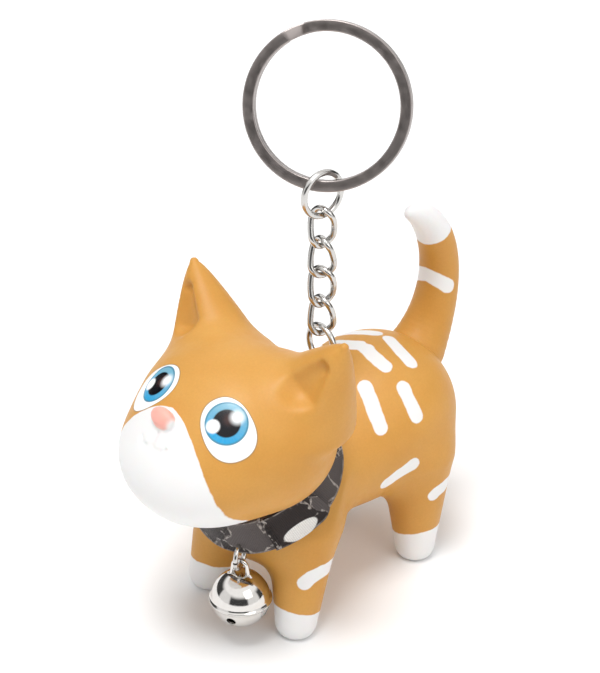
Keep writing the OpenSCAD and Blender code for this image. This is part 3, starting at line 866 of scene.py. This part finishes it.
def ribbonMaterial():
    material, tree, shader = newMaterial("patternedRibbon", Roughness=0.7, Sheen_Weight=0.35, Sheen_Roughness=0.4,
                                         Specular_IOR_Level=0.3)
    place = put(tree, "ShaderNodeAttribute", attribute_name="cloth").outputs["Vector"]
    along, across, _ = parts(tree, place)
    bend = put(tree, "ShaderNodeTexNoise", {"Vector": place, "Scale": 0.3, "Detail": 1.5}).outputs["Color"]
    bent = put(tree, "ShaderNodeVectorMath", {0: bend, 1: (5.0, 5.0, 0.0)}, operation="MULTIPLY").outputs[0]
    warped = put(tree, "ShaderNodeVectorMath", {0: place, 1: bent}, operation="ADD").outputs[0]
    cells = {"Vector": warped, "Scale": 1 / cloth["patch"], "Randomness": 0.9}
    patch = put(tree, "ShaderNodeTexVoronoi", cells, voronoi_dimensions="2D").outputs["Color"]
    border = put(tree, "ShaderNodeTexVoronoi", cells, voronoi_dimensions="2D",
                 feature="DISTANCE_TO_EDGE").outputs[0]
    tone = put(tree, "ShaderNodeSeparateColor", {0: patch}).outputs[0]
    ground = blendColour(tree, within(tree, tone, 0.55, 0.03), cloth["grey"], cloth["black"])
    worn = ranged(tree, noise(tree, 1.3, 3, place), 0, 1, 0.42, 0.6)
    line = times(tree, within(tree, border, 0.035, 0.015), worn)
    ground = blendColour(tree, line, ground, cloth["line"])
    fromHem = plus(tree, absolute(tree, across), -cloth["hemAt"])
    hem = within(tree, absolute(tree, fromHem), 0.12, 0.06)
    hemShare = times(tree, hem, ranged(tree, noise(tree, 0.9, 2, place), 0.1, 0.9, 0.4, 0.6))
    ground = blendColour(tree, hemShare, ground, cloth["thread"])
    # one pale oval patch near the lower edge
    ovalX, ovalY, ovalWide, ovalTall = cloth["oval"]
    dx = calc(tree, "DIVIDE", minus(tree, along, ovalX), ovalWide)
    dy = calc(tree, "DIVIDE", minus(tree, across, ovalY), ovalTall)
    oval = hypot(tree, dx, dy)
    ground = blendColour(tree, within(tree, oval, 1, 0.06), ground, cloth["white"])
    # fine cross ribs of the weave, and the threads between them; the colour carries painted shade in the grooves
    # and a painted highlight on the crests, following the same relief as the bump
    rib = calc(tree, "SINE", times(tree, along, 2 * pi / cloth["rib"]))
    warp = calc(tree, "SINE", times(tree, across, 2 * pi / (cloth["rib"] * 0.7)))
    weave = plus(tree, times(tree, rib, 0.6), times(tree, warp, 0.4))
    shade = ranged(tree, weave, 0.78, 1.12, -1, 1)
    tree.links.new(shadedBy(tree, shade, ground), shader.inputs["Base Color"])
    bump(tree, shader, weave, 0.5, 0.00008)
    return material


def ribbonStrip(fromAngle, toAngle, lift, steps, closed):
    # cross-section from the upper hem round the outside to the lower hem and back inside
    half = ribbon["width"] / 2
    v = np.array([-1, -0.97, -0.9, -0.86, -0.5, 0, 0.5, 0.86, 0.9, 0.97, 1.0])
    hem = np.interp(np.abs(v), [0, 0.86, 0.9, 1], [0, 0, 1, 1])
    fat = (cloth["thick"] + (cloth["hem"] - cloth["thick"]) * hem) / 2 * np.where(np.abs(v) == 1, 0.35, 1)
    section = [(a * half, b) for a, b in zip(v, fat)] + [(a * half, -b) for a, b in zip(v[::-1], fat[::-1])]
    slope = atan(ribbon["slope"])
    angles = np.radians(np.linspace(fromAngle, toAngle, steps + 1))[:steps if closed else None]
    points, place = [], []
    for i, a in enumerate(angles):
        # the lap's free end is cut to a blunt tongue and lifts a little
        share = 0 if closed else i / steps
        narrow = 1 - cloth["tongue"] * max(0, (share - cloth["tongueFrom"]) / cloth["tongueLong"]) ** 2
        raised = lift + cloth["curl"] * share ** 3
        sway = 0.07 * sin(5 * a + 0.8) + 0.04 * sin(11 * a)
        for s, out in section:
            across = s * narrow
            r = ribbonAt(across) + (out + sway + raised) * cos(slope)
            points.append((r * cos(a), r * sin(a), across + (out + raised) * sin(slope)))
            place.append((a * ribbon["radius"], s, 5 * lift))
    n = len(section)
    turned = np.array(points) @ neckTurn.T + kitten["neckMid"]
    return turned, tubeFaces(len(angles), n, closed), np.array(place)


def stitchTree(material):
    # short bent stitches laid along a line
    sizes = {"Count": 5, "Length": 3.6, "Stitch": 0.5, "Thread": 0.2}
    tree, given, output = nodeGroup("stitches", sizes, material)
    g = given.outputs
    spread = calc(tree, "DIVIDE", g["Length"], minus(tree, g["Count"], 1))
    start = vector(tree, 0.0, 0.0, times(tree, g["Length"], -0.5))
    offset = vector(tree, 0.0, 0.0, spread)
    row = put(tree, "GeometryNodeMeshLine", {"Count": g["Count"], "Start Location": start, "Offset": offset})
    half = times(tree, g["Stitch"], 0.5)
    under = vector(tree, 0.0, 0.0, times(tree, half, -1))
    arch = put(tree, "GeometryNodeCurveQuadraticBezier", {
        "Resolution": 6, "Start": under,
        "Middle": vector(tree, g["Thread"], 0.0, 0.0),
        "End": vector(tree, 0.0, 0.0, half)})
    thread = put(tree, "GeometryNodeCurvePrimitiveCircle", {
        "Resolution": 6, "Radius": times(tree, g["Thread"], 0.5)}).outputs[0]
    stitch = put(tree, "GeometryNodeCurveToMesh", {"Curve": arch.outputs[0], "Profile Curve": thread,
                                                "Fill Caps": True})
    laid = put(tree, "GeometryNodeInstanceOnPoints", {"Points": row.outputs[0], "Instance": stitch.outputs[0]})
    finishTree(tree, given, output, laid)
    return tree


def makeCollar(fabric, thread):
    points, faces, place = ribbonStrip(0, 360, 0, 200, True)
    band = makePiece("collar_band", points, faces, fabric, kittenAt, {"cloth": place}, 60)
    finishPiece(band, "collar", ["collar"])
    points, faces, place = ribbonStrip(cloth["lapFrom"], cloth["lapTo"], cloth["lapLift"], 40, False)
    lap = makePiece("collar_lap", points, faces, fabric, kittenAt, {"cloth": place}, 60)
    finishPiece(lap, "collar")
    # two rows of stitches hold the lap down
    rows = stitchTree(thread)
    for number, degrees in enumerate(cloth["stitchAt"]):
        a, slope = radians(degrees), atan(ribbon["slope"])
        out = np.array([cos(a), sin(a), 0])
        spot = out * (ribbon["radius"] + cloth["lapLift"] + cloth["stitchOut"])
        spot = neckTurn @ spot + np.array(kitten["neckMid"]) + kittenAt
        lean = Matrix(neckTurn.tolist()) @ Matrix.Rotation(a, 3, "Z") @ Matrix.Rotation(-slope, 3, "Y")
        row = grow("lap_stitches_%d" % (number + 1), rows, thread, {
            "Place": tuple(spot), "Turn": tuple(lean.to_euler())})
        finishPiece(row, "collar")
    print("ribbon collar")


def simpleMaterial(name, base, roughness, grain, grainScale):
    material, tree, shader = newMaterial(name, Roughness=roughness)
    speckle = noise(tree, grainScale, 3)
    dark = tuple(c * 0.88 for c in base[:3]) + (1,)
    tree.links.new(blendColour(tree, ranged(tree, speckle, 0, 1), dark, base), shader.inputs["Base Color"])
    tree.links.new(ranged(tree, speckle, roughness * 0.85, roughness * 1.15), shader.inputs["Roughness"])
    bump(tree, shader, speckle, grain, 0.0001)
    return material


studio = {"floor": 0.93, "skyTop": 0.72, "skySide": 0.4, "dark": 0.06, "bright": 1.15,
          "keyFrom": (0.05, -0.22, 1.0), "keySize": 24, "keyStrength": 2.0,
          "fillFrom": (0.6, -0.1, 0.5), "fillSize": 0.4, "fillPower": 0.8}
view = {"turn": 42.9, "above": 28.8, "away": 350, "lens": 102, "aim": (-2.3, -1.4, 51.4)}


def makeStudio():
    floorMesh = bpy.data.meshes.new("floor")
    z = kittenAt[2] * metre
    floorMesh.from_pydata([(-9, -9, z), (9, -9, z), (9, 9, z), (-9, 9, z)], [], [(0, 1, 2, 3)])
    paper, tree, shader = newMaterial("paleFloor", Roughness=0.75, Specular_IOR_Level=0.2)
    tone = ranged(tree, noise(tree, 4, 2), studio["floor"] * 0.99, studio["floor"])
    tree.links.new(grey(tree, tone), shader.inputs["Base Color"])
    floorMesh.materials.append(paper)
    floor = bpy.data.objects.new("floor", floorMesh)
    bpy.context.collection.objects.link(floor)
    world = bpy.data.worlds.new("paleStudio")
    bpy.context.scene.world = world
    world.use_nodes = True
    tree = world.node_tree
    backdrop = tree.nodes["Background"]
    # gloss sees dark walls between soft boxes; everything else sees an even pale room
    way = put(tree, "ShaderNodeTexCoord").outputs["Generated"]
    x, y, height = parts(tree, way)
    bearing = calc(tree, "ARCTAN2", y, x)
    stripes = calc(tree, "SINE", times(tree, plus(tree, bearing, 0.4), 3.0))
    walls = times(tree, within(tree, times(tree, stripes, -1), -0.3, 0.2), 0.8)
    top = within(tree, times(tree, height, -1), -0.5, 0.12)
    lit = calc(tree, "MAXIMUM", walls, top)
    shine = ranged(tree, lit, studio["dark"], studio["bright"], 0, 1)
    rays = put(tree, "ShaderNodeLightPath").outputs
    even = ranged(tree, height, studio["skySide"], studio["skyTop"], 0, 0.8)
    level = mixValue(tree, rays["Is Glossy Ray"], even, shine)
    level = mixValue(tree, rays["Is Camera Ray"], level, 1.0)
    tree.links.new(grey(tree, level), backdrop.inputs["Color"])
    target = Vector(kittenAt * metre)
    key, fill = bpy.data.lights.new("key", "SUN"), bpy.data.lights.new("fill", "AREA")
    key.angle, key.energy = radians(studio["keySize"]), studio["keyStrength"]
    fill.size, fill.energy = studio["fillSize"], studio["fillPower"]
    for lamp, place in ((key, studio["keyFrom"]), (fill, studio["fillFrom"])):
        lampObject = bpy.data.objects.new(lamp.name, lamp)
        bpy.context.collection.objects.link(lampObject)
        lampObject.location = target + Vector(place)
        lampObject.rotation_euler = (-Vector(place)).to_track_quat("-Z", "Y").to_euler()
    bpy.context.scene.view_settings.view_transform = "Standard"


def makeCamera():
    camera = bpy.data.cameras.new("camera")
    camera.lens, camera.sensor_width = view["lens"], 36
    camera.clip_start, camera.clip_end = 0.01, 10
    cameraObject = bpy.data.objects.new("camera", camera)
    bpy.context.collection.objects.link(cameraObject)
    a, e = radians(view["turn"]), radians(view["above"])
    back = Vector((sin(a) * cos(e), -cos(a) * cos(e), sin(e)))
    aim = Vector(kittenAt * metre) + Vector(view["aim"]) * metre
    cameraObject.location = aim + back * view["away"] * metre
    cameraObject.rotation_euler = (-back).to_track_quat("-Z", "Y").to_euler()
    bpy.context.scene.camera = cameraObject


makeCamera()
makeStudio()
vinylSkin = vinylMaterial()
steelWire = plateMaterial("nickelWire", colour(205, 203, 200), 0.17)
darkSteel = plateMaterial("ringNickel", colour(158, 150, 147), 0.33, 0.02, 0.03)
bellPlate = plateMaterial("bellNickel", colour(222, 219, 215), 0.1, 0.015)
plainSteel = plateMaterial("pelletSteel", colour(160, 160, 162), 0.35, 0.08)
makeKitten(vinylSkin)
wireLoops = makeChain(steelWire, darkSteel)
makeScrewEye(wireLoops, steelWire, simpleMaterial("plugVinyl", colour(208, 146, 70), 0.45, 0.06, 1800))
makeBell(wireLoops, steelWire, bellPlate, plainSteel)
makeCollar(ribbonMaterial(), simpleMaterial("stitchThread", colour(40, 34, 34), 0.8, 0.3, 5000))
